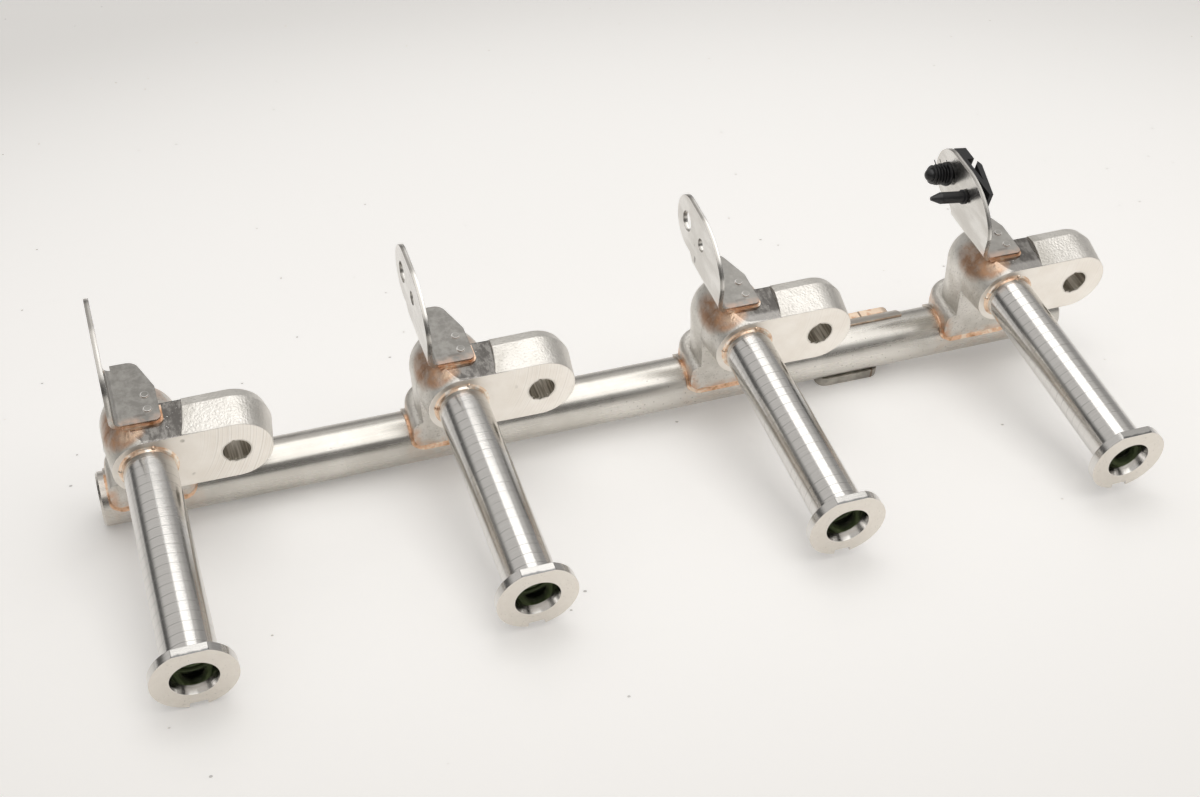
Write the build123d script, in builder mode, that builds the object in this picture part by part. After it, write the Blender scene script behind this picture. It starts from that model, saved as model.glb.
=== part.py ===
from build123d import *
from math import cos, radians, sin, tan
import os

# Four-cylinder petrol direct-injection fuel rail, millimetres, +Z up, X along the rail.
# Origin: middle of the line of four bolt holes, on the clamping face.
# The clamping faces lie in the plane y = 0 and the injector cups reach out along -Y.

os.makedirs("parts", exist_ok=True)

# --- layout -----------------------------------------------------------------
unit_count = 4
unit_pitch = 96.0          # injector spacing along the rail
bolt_shift = 26.0          # bolt axis, from the cup axis towards +X
rail_set_back = 20.0       # rail axis behind the clamping face
rail_drop = 31.0           # rail axis below the cup axes

# --- rail tube and end plugs --------------------------------------------------
rail_radius = 8.8
rail_wall = 3.4
rail_left_overhang = 16.3  # past the first cup axis
rail_right_overhang = 35.0  # past the last cup axis
rail_end_chamfer = 0.7
plug_radius = 6.6
plug_depth = 7.0           # counterbore that takes a plug
plug_recess = 0.6          # plug face below the end of the rail
plug_socket_radius = 1.5   # driver dimple in the plug face
plug_socket_depth = 1.2
passage_radius = 2.5       # drilled cross holes of the rail and the columns
feed_radius = 3.0          # drill that joins a column to its cup
feed_overrun = 3.5         # past the axis of the column drilling

# --- forged mounting block ----------------------------------------------------
ear_depth = 15.0
ear_parting = 10.75        # parting line of the forging, behind the clamping face
ear_front_radii = (10.72, 11.0)  # about the cup axis and about the bolt axis
ear_parting_radii = (11.78, 12.6)
ear_back_radii = (11.3, 11.6)
ear_back_fillet = 0.8
bolt_hole_radius = 4.65
pad_height = 10.8          # milled pad above the cup axis
pad_step_front = 10.8      # end of the milled pad, from the cup axis, at the face
pad_step_back = 12.8       # the same at the back of the ear
pad_step_bow = 12.2        # the same half way back
boss_radius = 11.85        # ball-ended boss that holds the cup
boss_length = 18.6         # from the clamping face to the centre of the ball
boss_start = 11.0          # where the boss leaves the ear
column_draft = 5.0
column_front = 11.3        # front of the column and of the foot
column_nose = 6.0          # front of the forging before milling
column_nose_half = 10.8
foot_half_width = 13.0
foot_side_end = 22.0       # where the sides of the foot turn into its back corners
foot_back_radius = 9.8
foot_top = 16.8            # below the cup axis
foot_top_fillet = 2.6
foot_stop = 3.0            # lower edge of the saddle, above the rail axis
foot_corner = 5.0
saddle_gap = 0.2           # braze gap between saddle and rail

# --- injector cup ---------------------------------------------------------------
cup_radius = 7.9
cup_length = 79.0
cup_seat_depth = 9.0       # spigot inside the block
cup_seat_clearance = 0.05
cup_passage_radius = 3.6
flange_radius = 12.2
flange_thickness = 2.8
flange_root_fillet = 0.8
flange_flat = 11.2         # flat on top, from the cup axis
flange_notch_width = 5.0
flange_notch_depth = 1.8
seat_radius = 5.95         # bore that takes the injector
seat_depth = 10.8
lead_in_radius = 6.8
lead_in_length = 2.6
seal_pocket_radius = 6.3   # recess at the bottom of the bore that keeps the seal ring
seal_pocket_length = 3.0
seal_thickness = 2.6
seal_hole_radius = 3.7
seal_bevel = 0.8

# --- split sleeve in each bolt hole ----------------------------------------------
sleeve_wall = 0.4
sleeve_recess = 0.6        # at the back; in front the sleeve is flush with the face
sleeve_slit = 1.0
sleeve_slit_angle = 100.0
sleeve_nick_angles = (-60.0, -97.0, -125.0)
sleeve_nick_size = 0.9

# --- harness bracket ---------------------------------------------------------------
sheet = 1.5
bend_radius = 2.0          # inside of the bend
tab_left = -9.0            # outer face of the upright tab, from the cup axis
base_right = 6.2
base_front = 7.0
base_back = 33.0
bend_back = 31.0
base_corner = 1.8
base_shear_y = 21.0        # where the right edge turns in
base_tail_x = 2.8
base_tail_y = 30.3
tab_heel_y = 33.0
tab_top = 34.4
tab_shoulder_y = 27.5      # where the top edge starts to fall away
tab_nose_y = 9.6
tab_nose_z = 26.3
tab_chin_z = 20.5
tab_end_radius = 9.3
tab_end_y = 36.8
clip_hole_radius = 3.5
clip_hole_y = 37.8
clip_hole_z = 25.0
pin_hole_radius = 2.3
pin_hole_y = 25.3
pin_hole_z = 24.8
pip_radius = 1.25          # pressed locating pips in the base
pip_height = 0.4
pip_x = 2.85
pip_rows = (11.9, 18.0)

# --- braze ----------------------------------------------------------------------------
braze_film = 0.15
cup_braze_leg = 1.0
cup_braze_throat = 0.35
bracket_braze_proud = 0.6
bracket_braze_height = 0.4
bracket_bead_back = 14.0   # the bead beside the base ends with the milled pad
foot_braze_proud = 0.8
foot_braze_radius = 9.5
bead_radius = 0.8
bead_offset = 0.4
bead_angles = (75.0, 175.0)

# --- harness clip -----------------------------------------------------------------------
clip_lean = 8.0            # degrees about Y
clip_standoff = 0.95
stud_core = 2.3
stud_length = 10.6
fin_start = 2.2
fin_count = 6
fin_pitch = 1.1
fin_thickness = 0.5
fin_radius = 3.2
fin_root_radius = 4.1
pin_radius = 2.0
pin_length = 14.8
pin_point = 3.6
pin_tip_radius = 0.7
pin_collar = 0.5
clip_body_down = 6.3
clip_body_up = 7.0
clip_body_front = 21.0
clip_body_rear = 5.0

# --- fuel inlet between the third and fourth unit -----------------------------------------
port_x = 71.5
port_half_width = 20.5
port_back_reach = 10.0     # back face, behind the rail axis
port_front_reach = 2.5     # front of the block, behind the rail axis
port_rise = 6.2            # top of the lip, above the rail axis
port_sink = 10.3           # underside, below the rail axis
port_pad_half_width = 11.7
port_pad_reach = 7.0       # front of the pad under the rail, ahead of the rail axis
port_pad_corner = 3.5
port_tilt = 32.0           # the threaded boss points backwards and down, degrees below +Y
port_boss_radius = 6.8
port_boss_length = 18.5    # from the rail axis
port_thread_radius = 5.0
port_thread_depth = 8.5
port_braze_radius = 9.5

# --- derived --------------------------------------------------------------------------------
cup_stations = [(i - (unit_count - 1) / 2) * unit_pitch - bolt_shift for i in range(unit_count)]
rail_left = cup_stations[0] - rail_left_overhang
rail_right = cup_stations[-1] + rail_right_overhang
rail_length = rail_right - rail_left
rail_bore_radius = rail_radius - rail_wall
rail_axis = Plane.YZ.offset(rail_left)
saddle_radius = rail_radius + saddle_gap
foot_bottom = rail_drop - foot_stop
port_back = rail_set_back + port_back_reach
port_front = rail_set_back + port_front_reach
port_top = rail_drop - port_rise
port_bottom = rail_drop + port_sink
port_pad_front = rail_set_back - port_pad_reach
port_axis = Plane(origin=(port_x, rail_set_back, -rail_drop), x_dir=(1, 0, 0),
                  z_dir=(0, cos(radians(port_tilt)), -sin(radians(port_tilt))))
column_inset = foot_bottom * tan(radians(column_draft))
ear_sections = ((0, ear_front_radii), (ear_parting, ear_parting_radii), (ear_depth, ear_back_radii))
base_bottom = pad_height + braze_film
base_top = base_bottom + sheet
bend_centre_x = tab_left + sheet + bend_radius
bend_centre_z = base_top + bend_radius


# ---------------------------------------------------------------------------------------------
# Rail tube: bored through, counterbored at both ends, cross-drilled for each cup and the port.
# ---------------------------------------------------------------------------------------------
with BuildPart() as rail_tube:
    with BuildSketch(Plane.YZ.offset(rail_left)):
        with Locations((rail_set_back, -rail_drop)):
            Circle(rail_radius)
    extrude(amount=rail_length)
    chamfer(rail_tube.edges().filter_by(GeomType.CIRCLE), length=rail_end_chamfer)
    with BuildSketch(Plane.YZ.offset(rail_left)):
        with Locations((rail_set_back, -rail_drop)):
            Circle(rail_bore_radius)
    extrude(amount=rail_length, mode=Mode.SUBTRACT)
    for end_x in (rail_left, rail_right - plug_depth):
        with BuildSketch(Plane.YZ.offset(end_x)):
            with Locations((rail_set_back, -rail_drop)):
                Circle(plug_radius)
        extrude(amount=plug_depth, mode=Mode.SUBTRACT)
    for station in cup_stations:
        with BuildSketch(Plane.XY.offset(-rail_drop)):
            with Locations((station, rail_set_back)):
                Circle(passage_radius)
        extrude(amount=rail_radius, mode=Mode.SUBTRACT)
    with BuildSketch(port_axis):
        Circle(passage_radius)
    extrude(amount=rail_radius, mode=Mode.SUBTRACT)

# Turned end plug, drawn for the left end with its dimpled face towards -X.
with BuildPart() as rail_plug:
    with BuildSketch(Plane.YZ.offset(rail_left + plug_recess)):
        with Locations((rail_set_back, -rail_drop)):
            Circle(plug_radius)
    extrude(amount=plug_depth - plug_recess)
    chamfer(rail_plug.edges().filter_by(GeomType.CIRCLE).group_by(Axis.X)[0], length=0.4)
    with BuildSketch(Plane.YZ.offset(rail_left + plug_recess)):
        with Locations((rail_set_back, -rail_drop)):
            Circle(plug_socket_radius)
    extrude(amount=plug_socket_depth, mode=Mode.SUBTRACT)

# ---------------------------------------------------------------------------------------------
# Mounting block: a drafted two-lobed ear, a D-shaped column behind it and a saddle foot.
# ---------------------------------------------------------------------------------------------
with BuildPart() as ear_blank:
    for y, (cup_end, bolt_end) in ear_sections:
        with BuildSketch(Plane.XZ.offset(-y)):
            with BuildLine():
                CenterArc((0, 0), cup_end, 0, 360)
                CenterArc((bolt_shift, 0), bolt_end, 0, 360)
            make_hull()
    loft(ruled=True)
    fillet(ear_blank.faces().sort_by(Axis.Y)[-1].edges(), radius=ear_back_fillet)

with BuildPart() as foot_blank:
    with BuildSketch(Plane.XY.offset(-foot_bottom - 1)):
        with BuildLine():
            Line((-foot_half_width, column_front), (-foot_half_width, foot_side_end))
            ThreePointArc((-foot_half_width, foot_side_end),
                          (-foot_half_width + 0.2929 * foot_back_radius,
                           foot_side_end + 0.7071 * foot_back_radius),
                          (-foot_half_width + foot_back_radius, foot_side_end + foot_back_radius))
            Line((-foot_half_width + foot_back_radius, foot_side_end + foot_back_radius),
                 (foot_half_width - foot_back_radius, foot_side_end + foot_back_radius))
            ThreePointArc((foot_half_width - foot_back_radius, foot_side_end + foot_back_radius),
                          (foot_half_width - 0.2929 * foot_back_radius,
                           foot_side_end + 0.7071 * foot_back_radius),
                          (foot_half_width, foot_side_end))
            Polyline((foot_half_width, foot_side_end), (foot_half_width, column_front),
                     (-foot_half_width, column_front))
        make_face()
    extrude(amount=foot_bottom + 1 - foot_top)
    fillet(foot_blank.faces().sort_by(Axis.Z)[-1].edges().sort_by(Axis.Y)[1:], radius=foot_top_fillet)

with BuildPart() as mounting_block:
    # tapering column and its foot, milled flat in front and underneath
    with BuildSketch(Plane.XY):
        with BuildLine():
            CenterArc((0, boss_length), boss_radius, 0, 360)
            Line((-column_nose_half, column_nose), (column_nose_half, column_nose))
        make_hull()
    with BuildSketch(Plane.XY.offset(-foot_bottom)):
        with BuildLine():
            CenterArc((0, boss_length), boss_radius - column_inset, 0, 360)
            Line((-column_nose_half + column_inset, column_nose), (column_nose_half - column_inset, column_nose))
        make_hull()
    loft(ruled=True)
    add(foot_blank.part)
    with BuildSketch(Plane.XY):
        with Locations((0, column_front - foot_half_width)):
            Rectangle(4 * foot_half_width, 2 * foot_half_width)
    extrude(amount=-2 * foot_bottom, mode=Mode.SUBTRACT)
    with BuildSketch(Plane.XY.offset(-foot_bottom)):
        with Locations((0, rail_set_back)):
            Rectangle(4 * foot_half_width, 4 * foot_half_width)
    extrude(amount=-rail_drop, mode=Mode.SUBTRACT)
    foot_corners = mounting_block.edges().filter_by(Axis.Y).filter_by(
        lambda e: abs(e.center().Z + foot_bottom) < 0.1 and abs(abs(e.center().X) - foot_half_width) < 0.5)
    fillet(foot_corners, radius=foot_corner)
    # ear and ball-ended boss
    add(ear_blank.part)
    with BuildSketch(Plane.XZ.offset(-boss_length)):
        Circle(boss_radius)
    extrude(amount=boss_length - boss_start)
    with Locations((0, boss_length, 0)):
        Sphere(boss_radius)
    # milled pad for the bracket
    with BuildSketch(Plane.XY.offset(pad_height)):
        with BuildLine():
            Polyline((-2 * boss_radius, -1), (pad_step_front, -1), (pad_step_front, 1))
            ThreePointArc((pad_step_front, 1), (pad_step_bow, ear_depth / 2), (pad_step_back, ear_depth + 1))
            Polyline((pad_step_back, ear_depth + 1), (pad_step_back, 3 * ear_depth),
                     (-2 * boss_radius, 3 * ear_depth), (-2 * boss_radius, -1))
        make_face()
    extrude(amount=boss_radius, mode=Mode.SUBTRACT)
    # saddle, bolt hole, cup socket and the drilled passage from the rail to the cup
    with BuildSketch(Plane.YZ.offset(-2 * foot_half_width)):
        with Locations((rail_set_back, -rail_drop)):
            Circle(saddle_radius)
    extrude(amount=4 * foot_half_width, mode=Mode.SUBTRACT)
    with BuildSketch(Plane.XZ):
        with Locations((bolt_shift, 0)):
            Circle(bolt_hole_radius)
    extrude(amount=-ear_depth, mode=Mode.SUBTRACT)
    with BuildSketch(Plane.XZ):
        Circle(cup_radius + cup_seat_clearance)
    extrude(amount=-cup_seat_depth, mode=Mode.SUBTRACT)
    with BuildSketch(Plane.XZ):
        Circle(feed_radius)
    extrude(amount=-(rail_set_back + feed_overrun), mode=Mode.SUBTRACT)
    with BuildSketch(Plane.XY.offset(-rail_drop)):
        with Locations((0, rail_set_back)):
            Circle(passage_radius)
    extrude(amount=rail_drop, mode=Mode.SUBTRACT)

# Split sleeve pressed into the bolt hole, with three nicks in its front edge.
with BuildPart() as bolt_sleeve:
    with BuildSketch(Plane.XZ):
        with Locations((bolt_shift, 0)):
            Circle(bolt_hole_radius)
            Circle(bolt_hole_radius - sleeve_wall, mode=Mode.SUBTRACT)
    extrude(amount=-(ear_depth - sleeve_recess))
    with BuildSketch(Plane.XZ):
        with Locations((bolt_shift, 0)):
            with PolarLocations(bolt_hole_radius, 1, start_angle=sleeve_slit_angle):
                Rectangle(3 * sleeve_wall, sleeve_slit)
    extrude(amount=-ear_depth, mode=Mode.SUBTRACT)
    with BuildSketch(Plane.XZ):
        for nick_angle in sleeve_nick_angles:
            with Locations((bolt_shift, 0)):
                with PolarLocations(bolt_hole_radius, 1, start_angle=nick_angle):
                    Rectangle(3 * sleeve_wall, sleeve_nick_size)
    extrude(amount=-sleeve_nick_size, mode=Mode.SUBTRACT)

# ---------------------------------------------------------------------------------------------
# Injector cup: turned tube with a clip flange; flat on top, notch underneath.
# ---------------------------------------------------------------------------------------------
with BuildPart() as injector_cup:
    with BuildSketch(Plane.XZ.offset(-cup_seat_depth)):
        Circle(cup_radius)
    extrude(amount=cup_length + cup_seat_depth)
    with BuildSketch(Plane.XZ.offset(cup_length - flange_thickness)):
        Circle(flange_radius)
        with Locations((0, flange_flat + flange_radius)):
            Rectangle(2 * flange_radius, 2 * flange_radius, mode=Mode.SUBTRACT)
        with Locations((0, -flange_radius)):
            Rectangle(flange_notch_width, 2 * flange_notch_depth, mode=Mode.SUBTRACT)
    extrude(amount=flange_thickness)
    root = injector_cup.edges().filter_by(GeomType.CIRCLE).filter_by(
        lambda e: abs(e.radius - cup_radius) < 0.01 and e.center().Y < 0)
    fillet(root.sort_by(Axis.Y)[-1:], radius=flange_root_fillet)
    with BuildSketch(Plane.XZ.offset(cup_length)):
        Circle(seat_radius)
    extrude(amount=-seat_depth, mode=Mode.SUBTRACT)
    with BuildSketch(Plane.XZ.offset(cup_length - seat_depth)):
        Circle(seal_pocket_radius)
    extrude(amount=seal_pocket_length, mode=Mode.SUBTRACT)
    with BuildSketch(Plane.XZ.offset(cup_length)):
        Circle(cup_passage_radius)
    extrude(amount=-(cup_length + cup_seat_depth), mode=Mode.SUBTRACT)
    with BuildSketch(Plane.XY):
        with BuildLine():
            Polyline((0, -cup_length), (lead_in_radius, -cup_length),
                     (seat_radius, -cup_length + lead_in_length), (0, -cup_length + lead_in_length),
                     (0, -cup_length))
        make_face()
    revolve(axis=Axis.Y, mode=Mode.SUBTRACT)

# Seal ring in the recess at the bottom of the injector bore.
with BuildPart() as cup_seal:
    with BuildSketch(Plane.XZ.offset(cup_length - seat_depth)):
        Circle(seal_pocket_radius)
        Circle(seal_hole_radius, mode=Mode.SUBTRACT)
    extrude(amount=seal_thickness)
    chamfer(cup_seal.edges().filter_by(GeomType.CIRCLE).group_by(Axis.Y)[0], length=seal_bevel)

# Braze fillet where the cup leaves the clamping face, with two tack beads.
with BuildPart() as cup_braze:
    with BuildSketch(Plane.XY):
        with BuildLine():
            Polyline((cup_radius, 0), (cup_radius + cup_braze_leg, 0),
                     (cup_radius + cup_braze_throat, -cup_braze_throat),
                     (cup_radius, -cup_braze_leg), (cup_radius, 0))
        make_face()
    revolve(axis=Axis.Y)
    for bead_angle in bead_angles:
        with Locations(Plane.XZ):
            with PolarLocations(cup_radius + bead_offset, 1, start_angle=bead_angle):
                Sphere(bead_radius)
    with BuildSketch(Plane.XZ):
        Circle(2 * cup_radius)
    extrude(amount=-2 * bead_radius, mode=Mode.SUBTRACT)
    add(injector_cup.part, mode=Mode.SUBTRACT)

# Braze between saddle and rail, with a narrow bead all round the foot.
with BuildPart() as foot_braze:
    with BuildSketch(Plane.YZ.offset(-foot_half_width - foot_braze_proud)):
        with Locations((rail_set_back, -rail_drop)):
            Circle(foot_braze_radius)
    extrude(amount=2 * (foot_half_width + foot_braze_proud))
    with BuildSketch(Plane.XZ.offset(-rail_set_back + 2 * foot_half_width)):
        with Locations((0, -rail_drop)):
            Rectangle(4 * foot_half_width, 4 * foot_half_width)
        with Locations((0, -foot_bottom - foot_braze_proud + foot_half_width)):
            RectangleRounded(2 * (foot_half_width + foot_braze_proud), 2 * foot_half_width,
                             foot_corner, mode=Mode.SUBTRACT)
    extrude(amount=-4 * foot_half_width, mode=Mode.SUBTRACT)
    with BuildSketch(Plane.YZ.offset(-2 * foot_half_width)):
        with Locations((rail_set_back, -rail_drop)):
            Circle(rail_radius)
    extrude(amount=4 * foot_half_width, mode=Mode.SUBTRACT)
    with BuildSketch(Plane.XY.offset(-rail_drop)):
        with Locations((0, rail_set_back)):
            Circle(passage_radius)
    extrude(amount=rail_drop, mode=Mode.SUBTRACT)
    add(mounting_block.part, mode=Mode.SUBTRACT)

# ---------------------------------------------------------------------------------------------
# Harness bracket: bent sheet, base brazed to the milled pad, upright tab with two holes.
# ---------------------------------------------------------------------------------------------
with BuildPart() as harness_bracket:
    # base plate
    with BuildSketch(Plane.XY.offset(base_bottom)):
        with BuildLine():
            Polyline((bend_centre_x, base_front), (base_right - base_corner, base_front))
            ThreePointArc((base_right - base_corner, base_front),
                          (base_right - 0.29 * base_corner, base_front + 0.29 * base_corner),
                          (base_right, base_front + base_corner))
            Polyline((base_right, base_front + base_corner), (base_right, base_shear_y),
                     (base_tail_x, base_tail_y))
            ThreePointArc((base_tail_x, base_tail_y), (base_tail_x - 1.2, base_back - 0.9),
                          (base_tail_x - 3.6, base_back))
            Polyline((base_tail_x - 3.6, base_back), (bend_centre_x, base_back),
                     (bend_centre_x, base_front))
        make_face()
    extrude(amount=sheet)
    # bend
    with BuildSketch(Plane.XZ.offset(-base_front)):
        with BuildLine():
            Line((bend_centre_x, base_bottom), (bend_centre_x, base_top))
            ThreePointArc((bend_centre_x, base_top),
                          (bend_centre_x - bend_radius * 0.7071, bend_centre_z - bend_radius * 0.7071),
                          (bend_centre_x - bend_radius, bend_centre_z))
            Line((bend_centre_x - bend_radius, bend_centre_z), (tab_left, bend_centre_z))
            ThreePointArc((tab_left, bend_centre_z),
                          (bend_centre_x - (bend_radius + sheet) * 0.7071,
                           bend_centre_z - (bend_radius + sheet) * 0.7071),
                          (bend_centre_x, base_bottom))
        make_face()
    extrude(amount=-(bend_back - base_front))
    # upright tab
    with BuildSketch(Plane.YZ.offset(tab_left)):
        with BuildLine():
            top_edge = Line((tab_end_y, tab_top), (tab_shoulder_y, tab_top))
            brow = TangentArc((tab_shoulder_y, tab_top), (tab_nose_y, tab_nose_z), tangent=top_edge % 1)
            TangentArc((tab_nose_y, tab_nose_z), (base_front, tab_chin_z), tangent=brow % 1)
            Line((base_front, tab_chin_z), (base_front, bend_centre_z))
            ThreePointArc((tab_end_y, tab_top), (tab_end_y + tab_end_radius, tab_top - tab_end_radius),
                          (tab_end_y, tab_top - 2 * tab_end_radius))
            Polyline((tab_end_y, tab_top - 2 * tab_end_radius), (tab_heel_y, tab_top - 2 * tab_end_radius),
                     (bend_back, bend_centre_z), (base_front, bend_centre_z))
        make_face()
        with Locations((clip_hole_y, clip_hole_z)):
            Circle(clip_hole_radius, mode=Mode.SUBTRACT)
        with Locations((pin_hole_y, pin_hole_z)):
            Circle(pin_hole_radius, mode=Mode.SUBTRACT)
    extrude(amount=sheet)
    # half-pierced locating pips
    with BuildSketch(Plane.XY.offset(base_top)):
        with Locations(*[(pip_x, row) for row in pip_rows]):
            Circle(pip_radius)
    extrude(amount=pip_height)
    with BuildSketch(Plane.XY.offset(base_bottom)):
        with Locations(*[(pip_x, row) for row in pip_rows]):
            Circle(pip_radius - 0.15)
    extrude(amount=pip_height, mode=Mode.SUBTRACT)

# Braze film under the base, squeezed out in a low bead along its edges.
with BuildPart() as bracket_braze:
    with BuildSketch(Plane.XY.offset(pad_height)):
        with BuildLine():
            Polyline((bend_centre_x, base_front - bracket_braze_proud),
                     (base_right - base_corner, base_front - bracket_braze_proud))
            ThreePointArc((base_right - base_corner, base_front - bracket_braze_proud),
                          (base_right + bracket_braze_proud - 0.29 * (base_corner + bracket_braze_proud),
                           base_front - bracket_braze_proud + 0.29 * (base_corner + bracket_braze_proud)),
                          (base_right + bracket_braze_proud, base_front + base_corner))
            Polyline((base_right + bracket_braze_proud, base_front + base_corner),
                     (base_right + bracket_braze_proud, bracket_bead_back),
                     (base_right, bracket_bead_back), (base_right, base_shear_y),
                     (bend_centre_x, base_shear_y), (bend_centre_x, base_front - bracket_braze_proud))
        make_face()
    extrude(amount=bracket_braze_height)
    add(harness_bracket.part, mode=Mode.SUBTRACT)

# ---------------------------------------------------------------------------------------------
# Harness clip on the last bracket, moulded in one piece. Drawn about the rear hole of the tab,
# then leaned over: it sits loosely and its studs point slightly upwards.
# ---------------------------------------------------------------------------------------------
with BuildPart() as harness_clip:
    # ribbed stud with a round end
    with BuildSketch(Plane.YZ.offset(clip_standoff + 0.5)):
        Circle(stud_core)
    extrude(amount=-(clip_standoff + 0.5 + stud_length - stud_core))
    with Locations((-stud_length + stud_core, 0, 0)):
        Sphere(stud_core)
    for fin in range(fin_count):
        with BuildSketch(Plane.YZ.offset(-fin_start - fin * fin_pitch)):
            Circle(fin_root_radius if fin == 0 else fin_radius)
        extrude(amount=-fin_thickness)
    # locating pin with a pointed end and a collar
    with BuildSketch(Plane.XY.offset(pin_hole_z - clip_hole_z)):
        with BuildLine():
            Polyline((clip_standoff + 0.5, pin_hole_y - clip_hole_y),
                     (clip_standoff + 0.5, pin_hole_y - clip_hole_y + pin_radius),
                     (-pin_length + pin_point, pin_hole_y - clip_hole_y + pin_radius),
                     (-pin_length, pin_hole_y - clip_hole_y + pin_tip_radius),
                     (-pin_length, pin_hole_y - clip_hole_y),
                     (clip_standoff + 0.5, pin_hole_y - clip_hole_y))
        make_face()
    revolve(axis=Axis((0, pin_hole_y - clip_hole_y, pin_hole_z - clip_hole_z), (1, 0, 0)))
    with BuildSketch(Plane.YZ.offset(-fin_start)):
        with Locations((pin_hole_y - clip_hole_y, pin_hole_z - clip_hole_z)):
            Circle(pin_radius + pin_collar)
    extrude(amount=-fin_thickness)
    # base plate, rear block and tapering latch blade
    with BuildSketch(Plane.XY.offset(-clip_body_down)):
        with BuildLine():
            Polyline((clip_standoff, clip_body_rear), (clip_standoff, -clip_body_front),
                     (clip_standoff + 1.4, -clip_body_front), (clip_standoff + 5.9, -4.6),
                     (clip_standoff + 5.2, -2.6), (clip_standoff + 3.9, -4.2),
                     (clip_standoff + 1.8, -13.0), (clip_standoff + 1.8, -1.2),
                     (clip_standoff + 4.6, -1.2), (clip_standoff + 4.6, clip_body_rear),
                     (clip_standoff, clip_body_rear))
        make_face()
    extrude(amount=clip_body_down + clip_body_up)

# ---------------------------------------------------------------------------------------------
# Fuel inlet: saddle block brazed to the back of the rail, with a tilted threaded boss.
# ---------------------------------------------------------------------------------------------
with BuildPart() as port_block:
    with BuildSketch(Plane.XZ.offset(-port_front)):
        with Locations((port_x, -(port_top + port_bottom) / 2)):
            RectangleRounded(2 * port_half_width, port_bottom - port_top, port_pad_corner)
    extrude(amount=-(port_back - port_front))
    with BuildSketch(Plane.XY.offset(-port_bottom)):
        with Locations((port_x, (port_pad_front + port_back) / 2)):
            RectangleRounded(2 * port_pad_half_width, port_back - port_pad_front, port_pad_corner)
    extrude(amount=port_bottom - rail_drop - rail_radius + 2.0)
    with BuildSketch(port_axis.offset(rail_radius)):
        Circle(port_boss_radius)
    extrude(amount=port_boss_length - rail_radius)
    chamfer(port_block.edges().filter_by(GeomType.CIRCLE).sort_by(Axis.Y)[-1:], length=0.8)
    with BuildSketch(Plane.YZ.offset(port_x - 2 * port_half_width)):
        with Locations((rail_set_back, -rail_drop)):
            Circle(saddle_radius)
    extrude(amount=4 * port_half_width, mode=Mode.SUBTRACT)
    with BuildSketch(port_axis.offset(port_boss_length)):
        Circle(port_thread_radius)
    extrude(amount=-port_thread_depth, mode=Mode.SUBTRACT)
    with BuildSketch(port_axis):
        Circle(passage_radius)
    extrude(amount=port_boss_length, mode=Mode.SUBTRACT)

with BuildPart() as port_braze:
    with BuildSketch(Plane.YZ.offset(port_x - port_half_width - foot_braze_proud)):
        with Locations((rail_set_back, -rail_drop)):
            Circle(port_braze_radius)
            Circle(rail_radius, mode=Mode.SUBTRACT)
    extrude(amount=2 * (port_half_width + foot_braze_proud))
    with BuildSketch(Plane.XY.offset(-rail_drop - 2 * rail_radius)):
        with Locations((port_x, rail_set_back - rail_radius)):
            Rectangle(4 * port_half_width, 2 * (rail_radius + port_front - rail_set_back - foot_braze_proud))
    extrude(amount=4 * rail_radius, mode=Mode.SUBTRACT)
    with BuildSketch(port_axis):
        Circle(passage_radius)
    extrude(amount=port_boss_length, mode=Mode.SUBTRACT)
    add(port_block.part, mode=Mode.SUBTRACT)

# ---------------------------------------------------------------------------------------------
# Placing and export: one file for each piece, the repeated ones once for each cup station.
# ---------------------------------------------------------------------------------------------
clip_pose = Location((cup_stations[-1] + tab_left + sheet, clip_hole_y, clip_hole_z), (0, clip_lean, 0))
placed = {
    "rail_tube": rail_tube.part,
    "rail_plug_left": rail_plug.part,
    "rail_plug_right": rail_plug.part.mirror(Plane.YZ.offset((rail_left + rail_right) / 2)),
    "port_block": port_block.part,
    "port_braze": port_braze.part,
    "harness_clip": harness_clip.part.moved(clip_pose),
}
repeated = {
    "mounting_block": mounting_block.part,
    "injector_cup": injector_cup.part,
    "cup_braze": cup_braze.part,
    "cup_seal": cup_seal.part,
    "foot_braze": foot_braze.part,
    "bolt_sleeve": bolt_sleeve.part,
    "harness_bracket": harness_bracket.part,
    "bracket_braze": bracket_braze.part,
}
for piece_name, piece in repeated.items():
    for number, station in enumerate(cup_stations, start=1):
        placed[f"{piece_name}_{number}"] = piece.moved(Location((station, 0, 0)))
for piece_name, piece in placed.items():
    piece.label = piece_name
    export_step(piece, f"parts/{piece_name}.step")
    print(piece_name, len(piece.solids()), piece.is_valid, round(piece.volume, 1))
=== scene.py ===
import math
import random

import bmesh
import bpy
from mathutils import Matrix, Vector


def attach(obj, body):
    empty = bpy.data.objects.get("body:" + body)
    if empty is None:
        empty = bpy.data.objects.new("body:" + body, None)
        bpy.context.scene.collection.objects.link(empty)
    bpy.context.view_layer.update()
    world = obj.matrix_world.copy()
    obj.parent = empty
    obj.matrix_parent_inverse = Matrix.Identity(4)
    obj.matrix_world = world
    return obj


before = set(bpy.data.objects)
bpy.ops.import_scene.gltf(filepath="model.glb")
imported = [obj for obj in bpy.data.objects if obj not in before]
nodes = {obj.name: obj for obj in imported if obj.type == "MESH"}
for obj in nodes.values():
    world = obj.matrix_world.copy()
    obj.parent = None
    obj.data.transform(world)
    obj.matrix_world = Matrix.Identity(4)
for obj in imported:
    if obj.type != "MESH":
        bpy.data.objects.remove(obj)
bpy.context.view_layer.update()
mm = 0.001
units = (1, 2, 3, 4)
layout = {
    "pitch": 96 * mm,  # from one cup axis to the next
    "firstCup": -170 * mm,
    "railY": 20 * mm,  # axis of the rail
    "railZ": -31 * mm,
}
cupX = [layout["firstCup"] + layout["pitch"] * i for i in range(len(units))]
copper = {"mid": (0.72, 0.42, 0.25), "pale": (0.92, 0.72, 0.55)}
random.seed(41)
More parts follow.
